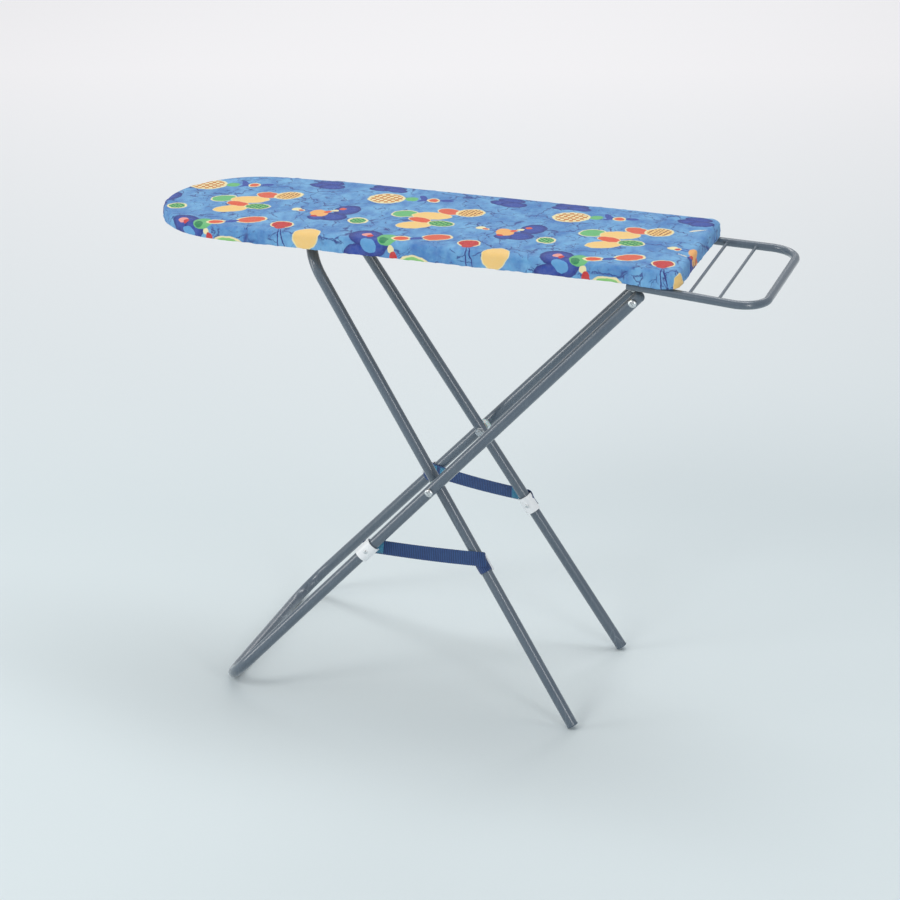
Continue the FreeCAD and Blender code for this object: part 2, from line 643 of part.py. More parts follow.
band = box("band", ("strap_length + 2 * strap_tail", "strap_thickness", "strap_width"),
           ("-strap_tail", "-strap_thickness / 2", "-strap_width / 2"))
band_turned = lean(group("band_turned", [band]), Vector(0, 0, 1), "strap_yaw")
band_turned.setExpression("Placement.Base.y", bound("strap_start_y"))
band_set = in_frame(group("band_set", [band_turned]), "strap")
loops = [in_frame(group("outer_loop_set", [loop("outer_loop", *outer_spot)]), "outer"),
         in_frame(group("inner_loop_set", [loop("inner_loop", *inner_spot)]), "inner")]
gaps = [in_frame(group("outer_gap_set", [leg_gap("outer_gap", *outer_spot)]), "outer"),
        in_frame(group("inner_gap_set", [leg_gap("inner_gap", *inner_spot)]), "inner")]
strap = cut("strap", fuse("strap_whole", [band_set] + loops), gaps + [outer_holes, inner_holes])
node(strap, "strap_far")
node(mirror("strap_mirrored", strap), "strap_near")

# Strap clips: half-round saddles over the loops, each held by one screw
clip_bore = loop_radius + " + strap_thickness + clip_fit"


def clip_set(name, spot, direction, frame):
    # The saddle covers the half of the tube that the direction points to, seen along the leg.
    sign = "" if direction == "Y" else "-"
    outside = cylinder(name + "_outside", clip_bore + " + clip_thickness", "clip_length",
                       ("0", "0", "-clip_length / 2"))
    bore = cylinder(name + "_bore", clip_bore, "clip_length + 2", ("0", "0", "-clip_length / 2 - 1"))
    away = box(name + "_away", ("2 * clip_length", "clip_length", "2 * clip_length"),
               ("-clip_length", "0" if sign else "-clip_length", "-clip_length"))
    drill = cylinder(name + "_drill", screw_hole, "strap_width", direction=direction)
    saddle = cut(name + "_saddle", outside, [bore, away, drill])
    seat = "%s(%s + clip_thickness + screw_gap)" % (sign, clip_bore)
    tip = "%s %s clip_screw_length" % (seat, "+" if sign else "-")
    shank = cylinder(name + "_shank", "screw_diameter / 2", "clip_screw_length", ("0", tip, "0"), direction)
    head = dome(name + "_head", "screw_head / 2", "screw_head_height", ("0", seat, "0"), direction)
    clip = leg_wise(name + "_clip", [saddle], *spot)
    screw = leg_wise(name + "_screw", [fuse(name + "_screw_solid", [shank, head])], *spot)
    clips = in_frame(both_sides(name + "_clips", clip), frame)
    screws = in_frame(both_sides(name + "_screws", screw), frame)
    return clips, screws


outer_clips, outer_clip_screws = clip_set("outer_strap", outer_spot, "Y", "outer")
node(outer_clips, "outer_strap_clips")
node(outer_clip_screws, "outer_clip_screws")
inner_clips, inner_clip_screws = clip_set("inner_strap", inner_spot, "-Y", "inner")
node(inner_clips, "inner_strap_clips")
node(inner_clip_screws, "inner_clip_screws")

doc.recompute()
for item in doc.Objects:
    if "Invalid" in item.State or "Error" in item.State:
        raise RuntimeError("%s is in state %s" % (item.Label, item.State))
os.makedirs("parts", exist_ok=True)
for item in NODES:
    shape = item.Shape
    if shape.isNull() or not shape.isValid():
        raise RuntimeError("%s has no valid shape" % item.Label)
    shape.exportStep("parts/%s.step" % item.Label)
    bounds = shape.optimalBoundingBox(False)
    print("%-20s solids %d volume %.0f x %.1f..%.1f y %.1f..%.1f z %.1f..%.1f" % (
        item.Label, len(shape.Solids), shape.Volume, bounds.XMin, bounds.XMax,
        bounds.YMin, bounds.YMax, bounds.ZMin, bounds.ZMax))
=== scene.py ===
import json
import math

import bmesh
import bpy
import numpy as np
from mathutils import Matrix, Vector, noise


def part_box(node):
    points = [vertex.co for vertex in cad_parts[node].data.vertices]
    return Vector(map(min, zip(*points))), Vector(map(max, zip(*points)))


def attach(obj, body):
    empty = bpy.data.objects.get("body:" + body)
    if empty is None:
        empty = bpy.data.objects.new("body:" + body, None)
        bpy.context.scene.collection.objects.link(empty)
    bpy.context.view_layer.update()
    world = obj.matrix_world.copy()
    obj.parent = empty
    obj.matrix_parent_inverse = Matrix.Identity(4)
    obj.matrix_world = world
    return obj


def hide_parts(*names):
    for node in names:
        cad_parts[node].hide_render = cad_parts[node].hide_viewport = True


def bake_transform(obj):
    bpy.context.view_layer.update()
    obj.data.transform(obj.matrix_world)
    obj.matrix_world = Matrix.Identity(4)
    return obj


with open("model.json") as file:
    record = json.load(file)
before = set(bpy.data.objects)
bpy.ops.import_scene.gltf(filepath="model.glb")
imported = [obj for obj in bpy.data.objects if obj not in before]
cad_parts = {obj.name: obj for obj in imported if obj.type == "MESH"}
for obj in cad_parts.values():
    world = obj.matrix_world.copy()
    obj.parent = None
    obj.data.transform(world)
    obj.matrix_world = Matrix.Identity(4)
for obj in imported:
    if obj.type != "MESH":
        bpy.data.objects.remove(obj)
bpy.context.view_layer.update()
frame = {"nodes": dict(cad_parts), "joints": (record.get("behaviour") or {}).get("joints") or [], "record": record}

# Places that the frame gives, in metres
COVER_LOW, COVER_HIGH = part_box("board_cover")
FOAM_LOW, FOAM_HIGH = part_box("foam_pad")
WIRES_LOW, WIRES_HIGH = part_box("rest_cross_wires")
HINGE, PIVOT = [Vector(joint["pos_m"]) for joint in frame["joints"]]

TUBE_RADIUS = 0.011
CLOTH = 0.0008
EDGE_ROUNDING = 0.010
CORNER = 0.018           # radius of the board's two rear corners, seen from above
REPEAT = 0.370           # the print comes again after this length
PRINT_SHIFT = 1.5        # the whole print sits this many millimetres nearer the nose
AZIMUTH = math.radians(18.04)


def colour(red, green, blue):
    """A colour given as 0 to 255 display values, as the linear values that a shader takes."""
    def linear(value):
        value /= 255
        return value / 12.92 if value <= 0.04045 else ((value + 0.055) / 1.055) ** 2.4
    return linear(red), linear(green), linear(blue), 1.0


# ---------------------------------------------------------------- materials

class Look:
    """A material with one Principled shader, and short calls for the nodes that feed it."""

    def __init__(self, name, **constants):
        self.material = bpy.data.materials.new(name)
        self.material.use_nodes = True
        self.tree = self.material.node_tree
        self.tree.nodes.clear()
        self.shader = self.node("ShaderNodeBsdfPrincipled")
        output = self.node("ShaderNodeOutputMaterial")
        self.tree.links.new(self.shader.outputs[0], output.inputs["Surface"])
        for title, value in constants.items():
            self.shader.inputs[title.replace("_", " ")].default_value = value
        self.object_place = self.node("ShaderNodeTexCoord").outputs["Object"]

    def node(self, kind, inputs=None, **settings):
        made = self.tree.nodes.new(kind)
        for title, value in settings.items():
            setattr(made, title, value)
        for title, value in (inputs or {}).items():
            self.feed(made.inputs[title], value)
        return made

    def feed(self, socket, value):
        if isinstance(value, bpy.types.NodeSocket):
            self.tree.links.new(value, socket)
        else:
            socket.default_value = value

    def surface(self, **sockets):
        for title, value in sockets.items():
            self.feed(self.shader.inputs[title.replace("_", " ")], value)

    def number(self, operation, *values):
        return self.node("ShaderNodeMath", dict(enumerate(values)), operation=operation).outputs[0]

    def vector(self, operation, *values):
        made = self.node("ShaderNodeVectorMath", dict(enumerate(values)), operation=operation)
        return made.outputs["Value" if operation in ("LENGTH", "DOT_PRODUCT") else "Vector"]

    def scaled(self, place, x, y, z):
        return self.vector("MULTIPLY", place, (x, y, z))

    def step(self, value, low, high, out_low=0.0, out_high=1.0):
        inputs = {"Value": value, "From Min": low, "From Max": high, "To Min": out_low, "To Max": out_high}
        return self.node("ShaderNodeMapRange", inputs).outputs[0]

    def mix(self, share, first, second, blend="MIX"):
        made = self.node("ShaderNodeMix", {0: share, 6: first, 7: second}, data_type="RGBA", blend_type=blend)
        return made.outputs[2]

    def noise(self, place, scale, detail=2.0, roughness=0.5):
        inputs = {"Vector": place, "Scale": scale, "Detail": detail, "Roughness": roughness}
        return self.node("ShaderNodeTexNoise", inputs).outputs["Fac"]

    def cells(self, place, scale, feature="F1"):
        made = self.node("ShaderNodeTexVoronoi", {"Vector": place, "Scale": scale}, feature=feature)
        return made.outputs["Distance"]

    def ripples(self, place, pitch_x, pitch_y):
        """Crossing waves from -1 to 1, as a weave's threads."""
        parts = self.node("ShaderNodeSeparateXYZ", {0: place})
        across = self.number("SINE", self.number("MULTIPLY", parts.outputs[0], math.tau / pitch_x))
        up = self.number("SINE", self.number("MULTIPLY", parts.outputs[1], math.tau / pitch_y))
        return self.number("MULTIPLY", across, up)

    def bump(self, height, distance, strength=1.0, under=None):
        inputs = {"Height": height, "Distance": distance, "Strength": strength}
        if under is not None:
            inputs["Normal"] = under
        return self.node("ShaderNodeBump", inputs).outputs[0]


def powder_coat():
    """Slate grey paint with fine orange peel, paler where it is rubbed near the floor."""
    look = Look("powder_coat", Coat_Weight=0.9, Coat_Roughness=0.14)
    place = look.object_place
    cloudy = look.noise(place, 14.0, 3.0)
    speckle = look.noise(place, 900.0, 1.0)
    tone = look.mix(cloudy, colour(72, 86, 101), colour(88, 102, 115))
    tone = look.mix(look.step(speckle, 0.55, 0.75, 0.0, 0.35), tone, colour(116, 130, 142))
    scratches = look.cells(look.scaled(place, 60.0, 60.0, 9.0), 1.0, "DISTANCE_TO_EDGE")
    height = look.node("ShaderNodeSeparateXYZ", {0: place}).outputs[2]
    low_down = look.step(height, 0.0, 0.07, 0.8, 0.12)
    rubbed = look.number("MULTIPLY", look.step(scratches, 0.0, 0.022, 1.0, 0.0), low_down)
    tone = look.mix(rubbed, tone, colour(150, 160, 168))
    peel = look.bump(look.noise(place, 420.0, 2.0), 0.00008, 0.5)
    look.surface(Base_Color=tone, Roughness=look.step(cloudy, 0.3, 0.7, 0.3, 0.42), Normal=peel)
    return look.material


def bright_zinc():
    look = Look("bright_zinc", Metallic=1.0)
    place = look.object_place
    mottle = look.noise(place, 260.0, 3.0)
    brushed = look.noise(look.scaled(place, 300.0, 300.0, 2500.0), 1.0, 2.0)
    tone = look.mix(mottle, colour(196, 202, 206), colour(235, 238, 238))
    look.surface(Base_Color=tone, Roughness=look.step(brushed, 0.3, 0.7, 0.14, 0.34),
                 Normal=look.bump(brushed, 0.00005, 0.6))
    return look.material


def moulded_plastic(name, dark, light, rough, grain=700.0, **constants):
    """Moulded plastic: a little cloudy, with a fine spark-eroded grain."""
    look = Look(name, **constants)
    place = look.object_place
    cloudy = look.noise(place, 55.0, 3.0)
    grained = look.noise(place, grain, 2.0)
    look.surface(Base_Color=look.mix(cloudy, dark, light),
                 Roughness=look.step(grained, 0.3, 0.7, rough - 0.06, rough + 0.08),
                 Normal=look.bump(grained, 0.00012, 0.5))
    return look.material


def particle_board():
    """Pressed wood chips with their edges darker."""
    look = Look("particle_board")
    place = look.object_place
    chips = look.node("ShaderNodeTexVoronoi", {"Vector": look.scaled(place, 1.0, 0.6, 1.0), "Scale": 230.0})
    gaps = look.cells(look.scaled(place, 1.0, 0.6, 1.0), 230.0, "DISTANCE_TO_EDGE")
    shade = look.node("ShaderNodeSeparateColor", {0: chips.outputs["Color"]}).outputs[0]
    tone = look.mix(shade, colour(158, 128, 92), colour(205, 178, 136))
    tone = look.mix(look.step(gaps, 0.0, 0.08, 0.7, 0.0), tone, colour(108, 80, 52))
    tone = look.mix(look.noise(place, 9.0, 2.0), tone, colour(184, 152, 112))
    look.surface(Base_Color=tone, Roughness=look.step(shade, 0.0, 1.0, 0.62, 0.85),
                 Normal=look.bump(gaps, 0.0006, 0.6))
    return look.material


def open_foam():
    look = Look("open_foam", Sheen_Weight=0.2)
    place = look.object_place
    pores = look.cells(place, 520.0)
    tone = look.mix(look.step(pores, 0.1, 0.6), colour(196, 186, 150), colour(240, 233, 208))
    look.surface(Base_Color=tone, Roughness=look.step(pores, 0.0, 0.7, 0.8, 0.97),
                 Normal=look.bump(pores, 0.0009, 0.8))
    return look.material


def webbing_cloth():
    """Navy polypropylene webbing: its ribs are in the mesh, its yarns in the bump, and painted shade darkens the
    hollows between the ribs.
    """
    look = Look("webbing", Sheen_Weight=0.35, Sheen_Roughness=0.4)
    along = look.node("ShaderNodeUVMap", uv_map="cloth").outputs[0]
    yarns = look.ripples(along, 0.0012, 0.0011)
    parts = look.node("ShaderNodeSeparateXYZ", {0: along})
    painted_groove_shade = look.number("COSINE", look.number("MULTIPLY", parts.outputs[0], math.tau / RIB))
    fuzz = look.noise(look.object_place, 900.0, 3.0)
    worn = look.noise(look.object_place, 40.0, 2.0)
    tone = look.mix(look.step(yarns, -1.0, 1.0), colour(30, 58, 112), colour(50, 88, 146))
    tone = look.mix(look.step(worn, 0.35, 0.75, 0.0, 0.5), tone, colour(52, 96, 150))
    tone = look.mix(look.step(fuzz, 0.55, 0.8, 0.0, 0.3), tone, colour(78, 116, 168))
    # painted shade: the colour is darker in the hollows between the ribs, in step with the ribs in the mesh
    tone = look.mix(look.step(painted_groove_shade, -1.0, 0.2, 0.8, 0.0), tone, colour(14, 26, 62))
    normal = look.bump(yarns, 0.0002, 0.7)
    look.surface(Base_Color=tone, Roughness=look.step(fuzz, 0.3, 0.7, 0.55, 0.8),
                 Normal=look.bump(fuzz, 0.0001, 0.5, normal))
    return look.material


def sewing_thread(name, mottle, dark, light, rough):
    """Twisted thread whose colour varies along it."""
    look = Look(name, Sheen_Weight=0.3)
    place = look.object_place
    twist = look.noise(place, 2200.0, 1.0)
    tone = look.mix(look.noise(place, mottle), dark, light)
    look.surface(Base_Color=tone, Roughness=look.step(twist, 0.3, 0.7, rough, rough + 0.25),
                 Normal=look.bump(twist, 0.0001, 0.6))
    return look.material


# ---------------------------------------------------------------- the cover's print

LEAF, LIME, CREAM = colour(104, 188, 118), colour(140, 206, 118), colour(244, 232, 178)
PALE, PEACH, CORAL = colour(250, 208, 128), colour(248, 180, 104), colour(226, 96, 66)
ORANGE, RED, TAN = colour(230, 88, 48), colour(204, 48, 48), colour(206, 132, 62)
NAVY, DEEP, GREEN = colour(42, 74, 164), colour(22, 42, 128), colour(30, 134, 80)
BLUSH, SKY = colour(240, 160, 150), colour(92, 160, 214)

# Each oval on the flat cloth: its fill, its middle x and y and its half sizes in millimetres, its turn in
# degrees, the name of its pattern, and the width of its pale rim as a share of its size.
PRINT = [
    (NAVY, 42, 142, 27, 13, 0, "blob", 0),
    (NAVY, 35, 122, 32, 15, -8, "blob", 0),
    (NAVY, 52, 119, 26, 15, 10, "blob", 0),
    (NAVY, 162, 146, 34, 14, 0, "blob", 0),
    (NAVY, 150, 134, 25, 12, 10, "blob", 0),
    (NAVY, 178, 134, 25, 12, -10, "blob", 0),
    (NAVY, 130, -10, 24, 30, -20, "blob", 0),
    (NAVY, 114, -56, 30, 22, 10, "blob", 0),
    (NAVY, 88, -68, 18, 13, 0, "blob", 0),
    (NAVY, 214, -142, 32, 30, 20, "blob", 0),
    (NAVY, 240, -166, 24, 28, -20, "blob", 0),
    (NAVY, 204, -184, 26, 14, 10, "blob", 0),
    (NAVY, 64, -36, 24, 6, -12, "plain", 0),
    (SKY, 62, -36, 17, 2, -12, "plain", 0),
    (PEACH, 84, -42, 17, 20, 30, "plain", 0),
    (ORANGE, 98, -30, 8, 6, 40, "plain", 0),
    (CREAM, 108, -20, 8, 5, 35, "plain", 0),
    (CORAL, 120, -6, 7, 6, 30, "plain", 0),
    (RED, 80, -60, 7, 5, 0, "plain", 0),
    (CREAM, 34, -30, 10, 8, 20, "plain", 0),
    (RED, 44, -34, 8, 6, 0, "plain", 0.3),
    (TAN, 178, 81, 36, 30, 22, "checks", 0.12),
    (LEAF, 225, 92, 13, 12, 20, "plain", 0),
    (NAVY, 246, 104, 7, 18, 30, "plain", 0),
    (NAVY, 250, 92, 14, 4, 40, "plain", 0),
    (CORAL, 268, 98, 13, 12, 10, "plain", 0.25),
    (NAVY, 292, 104, 13, 7, 15, "plain", 0),
    (LEAF, -129, 4, 26, 20, 32, "plain", 0.1),
    (PALE, -76, 7, 38, 22, 12, "plain", 0.04),
    (CORAL, -52, 42, 25, 18, -18, "plain", 0.08),
    (TAN, -11, 46, 28, 23, 32, "dots", 0.14),
    (PALE, -92, -54, 34, 20, 26, "plain", 0.04),
    (ORANGE, -90, -22, 24, 14, -14, "plain", 0.06),
    (GREEN, -46, -31, 26, 17, 6, "leafy", 0.1),
    (CORAL, -27, -110, 30, 18, 28, "plain", 0.12),
    (DEEP, 46, -172, 1.3, 26, 4, "plain", 0),
    (DEEP, 54, -170, 1.3, 24, 16, "plain", 0),
    (RED, 40, -124, 22, 20, 10, "seeds", 0.12),
    (RED, 41, -136, 11, 13, 0, "seeds", 0),
    (PALE, 102, -164, 25, 30, -26, "plain", 0.05),
    (GREEN, 170, -62, 19, 18, 10, "leafy", 0.2),
    (BLUSH, 214, -136, 10, 9, 30, "plain", 0),
    (RED, 222, -142, 5, 8, -20, "plain", 0),
    (LEAF, 258, -146, 19, 23, 20, "plain", 0),
    (GREEN, 252, -152, 8, 13, 20, "plain", 0),
    (ORANGE, 281, -137, 19, 13, 12, "plain", 0.25),
    (SKY, 226, -170, 17, 12, -35, "plain", 0),
    (NAVY, 309, -128, 14, 6, 30, "plain", 0),
    (CREAM, 270, -174, 7, 8, 0, "plain", 0),
    (RED, 276, -190, 8, 13, 0, "plain", 0),
    (LIME, 316, -196, 30, 15, 0, "plain", 0.22),
]


def oval(look, place, x, y, half_x, half_y, turn):
    """The place inside a repeated oval, and its distance from the middle, which is 1 at the oval's edge."""
    middle = Vector((x - PRINT_SHIFT, y, 0.0)) / 1000
    reach = Vector((REPEAT / 2, 0.6, 1.0))
    nearest = look.vector("WRAP", place, middle + reach, middle - reach)
    inputs = {"Vector": nearest, "Location": middle, "Rotation": (0.0, 0.0, math.radians(turn)),
              "Scale": (half_x / 1000, half_y / 1000, 1.0)}
    local = look.node("ShaderNodeMapping", inputs, vector_type="TEXTURE").outputs[0]
    return local, look.vector("LENGTH", local)


def filled(look, local, distance, fill, pattern):
    """The colour inside an oval, with its pattern."""
    if pattern == "blob":
        return look.mix(look.step(distance, 0.55, 0.98), fill, DEEP)
    if pattern == "checks":
        share = look.step(look.ripples(local, 0.4, 0.56), -0.2, 0.05)
        return look.mix(share, CREAM, fill)
    if pattern == "dots":
        share = look.step(look.ripples(local, 0.4, 0.46), 0.0, 0.25)
        return look.mix(share, PALE, colour(150, 72, 30))
    if pattern == "leafy":
        share = look.step(look.ripples(local, 0.5, 0.62), -0.3, 0.0)
        return look.mix(share, LIME, fill)
    if pattern == "seeds":
        return look.mix(look.step(look.cells(local, 4.0), 0.12, 0.3), colour(120, 30, 40), fill)
    return look.mix(look.step(distance, 0.3, 1.0, 0.0, 0.5), fill, CORAL if fill is ORANGE else fill)


def watercolour_ground(look, place):
    """Blue washes, brush strokes across the board and fine broken crackle lines."""
    wash = look.noise(place, 13.0, 4.0, 0.6)
    strokes = look.noise(look.scaled(place, 58.0, 34.0, 1.0), 1.0, 3.0, 0.6)
    tone = look.mix(look.step(wash, 0.38, 0.62), colour(72, 134, 196), colour(114, 176, 222))
    tone = look.mix(look.step(strokes, 0.48, 0.72, 0.0, 0.65), tone, colour(58, 110, 184))
    tone = look.mix(look.step(strokes, 0.42, 0.27, 0.0, 0.5), tone, colour(118, 190, 230))
    bent = look.node("ShaderNodeTexNoise", {"Vector": place, "Scale": 38.0, "Detail": 3.0}).outputs["Color"]
    bent = look.scaled(look.vector("SUBTRACT", bent, (0.5, 0.5, 0.5)), 0.05, 0.05, 0.0)
    bent = look.vector("ADD", look.scaled(place, 1.0, 1.25, 1.0), bent)
    for scale, width, low in ((9.0, 0.020, 0.44), (17.0, 0.026, 0.49), (33.0, 0.036, 0.56)):
        lines = look.cells(bent, scale, "DISTANCE_TO_EDGE")
        broken = look.step(look.noise(place, 9.0 + scale, 2.0), low, low + 0.06)
        line = look.number("MULTIPLY", look.step(lines, 0.0, width, 1.0, 0.0), broken)
        tone = look.mix(line, tone, colour(28, 52, 132))
    return tone


def printed_cotton():
    """The cover's cloth: plain weave printed with fruit and leaves on a blue ground."""
    look = Look("printed_cotton", Sheen_Weight=0.1, Sheen_Roughness=0.4)
    place = look.node("ShaderNodeUVMap", uv_map="cloth").outputs[0]
    wobble = look.node("ShaderNodeTexNoise", {"Vector": place, "Scale": 70.0, "Detail": 2.0}).outputs["Color"]
    wobble = look.scaled(look.vector("SUBTRACT", wobble, (0.5, 0.5, 0.5)), 0.007, 0.007, 0.0)
    drawn = look.vector("ADD", place, wobble)
    tone = watercolour_ground(look, place)
    for fill, x, y, half_x, half_y, turn, pattern, rim in PRINT:
        local, distance = oval(look, drawn, x, y, half_x, half_y, turn)
        if rim:
            tone = look.mix(look.step(distance, 0.98, 1.04, 1.0, 0.0), tone, CREAM)
        inside = filled(look, local, distance, fill, pattern)
        edge = 1.0 - rim
        tone = look.mix(look.step(distance, edge - 0.03, edge + 0.03, 1.0, 0.0), tone, inside)
    blotch = look.noise(place, 120.0, 3.0, 0.6)
    tone = look.mix(look.step(blotch, 0.3, 0.7, 0.0, 0.07), tone, colour(235, 240, 245))
    weave = look.ripples(place, 0.0011, 0.0011)
    tone = look.mix(look.step(weave, -1.0, 1.0, 0.0, 0.1), tone, colour(40, 60, 110), "MULTIPLY")
    creases = look.noise(place, 46.0, 3.0, 0.55)
    normal = look.bump(creases, 0.0035, 0.35)
    look.surface(Base_Color=tone, Roughness=look.step(blotch, 0.3, 0.7, 0.78, 0.92),
                 Normal=look.bump(weave, 0.00012, 0.5, normal))
    return look.material


# ---------------------------------------------------------------- mesh helpers

def mesh_piece(name, points, faces, material, flat_uv=None):
    """A smooth-shaded mesh object; flat_uv gives each vertex's place on its flat cloth."""
    mesh = bpy.data.meshes.new(name)
    mesh.from_pydata([tuple(point) for point in points], [], faces)
    mesh.validate()
    mesh.shade_smooth()
    if flat_uv is not None:
        layer = mesh.uv_layers.new(name="cloth")
        corners = np.zeros(len(mesh.loops), int)
        mesh.loops.foreach_get("vertex_index", corners)
        layer.uv.foreach_set("vector", np.asarray(flat_uv, np.float32)[corners].ravel())
    mesh.materials.append(material)
    piece = bpy.data.objects.new(name, mesh)
    bpy.context.scene.collection.objects.link(piece)
    return piece


def grid_faces(rows, columns, closed_rows=False, closed_columns=False, first=0):
    """Quads over a grid of rows times columns vertices."""
    faces = []
    for row in range(rows if closed_rows else rows - 1):
        for column in range(columns if closed_columns else columns - 1):
            up, across = (row + 1) % rows, (column + 1) % columns
            here, above = first + row * columns, first + up * columns
            faces.append((here + column, here + across, above + across, above + column))
    return faces


class Bundle:
    """Vertices and faces gathered from several shapes into one piece."""

    def __init__(self):
        self.points, self.faces = [], []

    def tube(self, path, radius, sides=6):
        """A thread along a path, closed at both ends."""
        path = [Vector(point) for point in path]
        first = len(self.points)
        for number, point in enumerate(path):
            ahead = path[min(number + 1, len(path) - 1)] - path[max(number - 1, 0)]
            ahead.normalize()
            side = ahead.cross(Vector((0.31, 0.17, 0.93))).normalized()
            up = side.cross(ahead)
            for corner in range(sides):
                angle = math.tau * corner / sides
                self.points.append(point + radius * (side * math.cos(angle) + up * math.sin(angle)))
        self.faces += grid_faces(len(path), sides, closed_columns=True, first=first)
        self.faces.append(tuple(first + corner for corner in reversed(range(sides))))
        last = first + (len(path) - 1) * sides
        self.faces.append(tuple(last + corner for corner in range(sides)))

    def ring(self, centre, axis, radius, thickness, sides=32, rounds=10):
        """A torus about an axis, such as a weld bead."""
        axis = Vector(axis).normalized()
        side = axis.orthogonal().normalized()
        up = axis.cross(side)
        first = len(self.points)
        for number in range(sides):
            angle = math.tau * number / sides
            outward = side * math.cos(angle) + up * math.sin(angle)
            swell = 1 + 0.16 * math.sin(5 * angle) + 0.1 * math.sin(9 * angle + 1)
            for corner in range(rounds):
                turn = math.tau * corner / rounds
                offset = outward * math.cos(turn) + axis * math.sin(turn)
                self.points.append(Vector(centre) + outward * radius + offset * thickness * swell)
        self.faces += grid_faces(sides, rounds, True, True, first)

    def piece(self, name, material):
        return mesh_piece(name, self.points, self.faces, material)


# ---------------------------------------------------------------- cover and foam

class Outline:
    """Stations round the board's edge: a half-round nose and a square rear end with rounded corners."""

    def __init__(self, low, high, spacing):
        half, rear = high.y, high.x
        nose = low.x + half
        self.points, self.normals, self.spine, self.lengths = [], [], [], []
        last = rear - half

        def arc(x, y, radius, start, end):
            count = max(4, round(abs(end - start) * radius / spacing))
            for number in range(count):
                angle = start + (end - start) * number / count
                normal = Vector((math.cos(angle), math.sin(angle)))
                self.add(Vector((x, y)) + normal * radius, normal, nose if x <= nose else last)

        def side(start, end, y, normal):
            count = round(abs(end - start) / spacing)
            for number in range(count):
                x = start + (end - start) * number / count
                self.add(Vector((x, y)), normal, min(x, last))

        quarter = math.pi / 2
        side(nose, rear - CORNER, -half, Vector((0, -1)))
        arc(rear - CORNER, CORNER - half, CORNER, -quarter, 0)
        count = round((2 * half - 2 * CORNER) / spacing)
        for number in range(count):
            y = (CORNER - half) + (2 * half - 2 * CORNER) * number / count
            self.add(Vector((rear, y)), Vector((1, 0)), last)
        arc(rear - CORNER, half - CORNER, CORNER, 0, quarter)
        side(rear - CORNER, nose, half, Vector((0, 1)))
        arc(nose, 0.0, half, quarter, 3 * quarter)
        self.total = sum((b - a).length for a, b in zip(self.points, self.points[1:] + self.points[:1]))

    def add(self, point, normal, spine_x):
        run = (point - self.points[-1]).length if self.points else 0.0
        self.lengths.append((self.lengths[-1] if self.lengths else 0.0) + run)
        self.points.append(point)
        self.normals.append(normal)
        self.spine.append(Vector((spine_x, 0.0)))


def smooth(value, low, high):
    share = min(1.0, max(0.0, (value - low) / (high - low)))
    return share * share * (3 - 2 * share)


def ripple(length, total, pitch, seed):
    """A wandering wave of about that pitch along the closed outline, from -1 to 1."""
    angle = math.tau * length / total
    round_it = total / math.tau / pitch
    spot = Vector((round_it * math.cos(angle), round_it * math.sin(angle), seed))
    return max(-1.0, min(1.0, 1.9 * noise.noise(spot)))


HEM = 0.013              # how far the cover is turned under
HEM_LIP = 0.0025         # radius of its lower edge
ROUND_RUN = 0.0057       # how far past the outline the flat cloth is where the rounded upper edge ends
LOWER_RUN = 0.007        # the same with the lower edge's lip added, before the side's height
TOP_ROWS, ROUND_ROWS, SIDE_ROWS, HEM_ROWS = 26, 7, 8, 5
NOSE_TAPER = 0.36        # the pad thins over this length towards the nose
COVER_THINNING, FOAM_THINNING = 0.27, 0.46

# The simulated skirt: how much too large it is cut, its frames, and how far a wrinkle may stand out
SKIRT_GROWTH, SKIRT_FRAMES, WRINKLE_CAP = 0.05, 16, 0.0022


def cover_profile(height):
    """Rows from the middle of the top to the hem's inner edge: (share of the way in to the spine, inset,
    height below the top, how far round the edge it is, and how much the gathers move it)."""
    rows = []
    for number in range(TOP_ROWS):
        rows.append((1 - number / TOP_ROWS, EDGE_ROUNDING, 0.0, -EDGE_ROUNDING, 0.0))
    for number in range(ROUND_ROWS + 1):
        angle = math.pi / 2 * number / ROUND_ROWS
        inset = EDGE_ROUNDING * (1 - math.sin(angle))
        drop = EDGE_ROUNDING * (1 - math.cos(angle))
        rows.append((0.0, inset, drop, -EDGE_ROUNDING + EDGE_ROUNDING * angle, 0.1))
    lip = HEM_LIP
    for number in range(1, SIDE_ROWS + 1):
        share = number / SIDE_ROWS
        drop = EDGE_ROUNDING + (height - EDGE_ROUNDING - lip) * share
        rows.append((0.0, 0.0, drop, ROUND_RUN + drop - EDGE_ROUNDING, 0.15 + 0.6 * share))
    for number in range(1, 4):
        angle = math.pi / 2 * number / 3
        rows.append((0.0, lip * (1 - math.cos(angle)), height - lip + lip * math.sin(angle),
                     ROUND_RUN + height - EDGE_ROUNDING - lip + lip * angle, 0.85))
    for number in range(1, HEM_ROWS + 1):
        share = number / HEM_ROWS
        rows.append((0.0, lip + (HEM - lip) * share, height - 0.0004 * share,
                     LOWER_RUN + height - EDGE_ROUNDING + HEM * share, 1.0))
    return rows


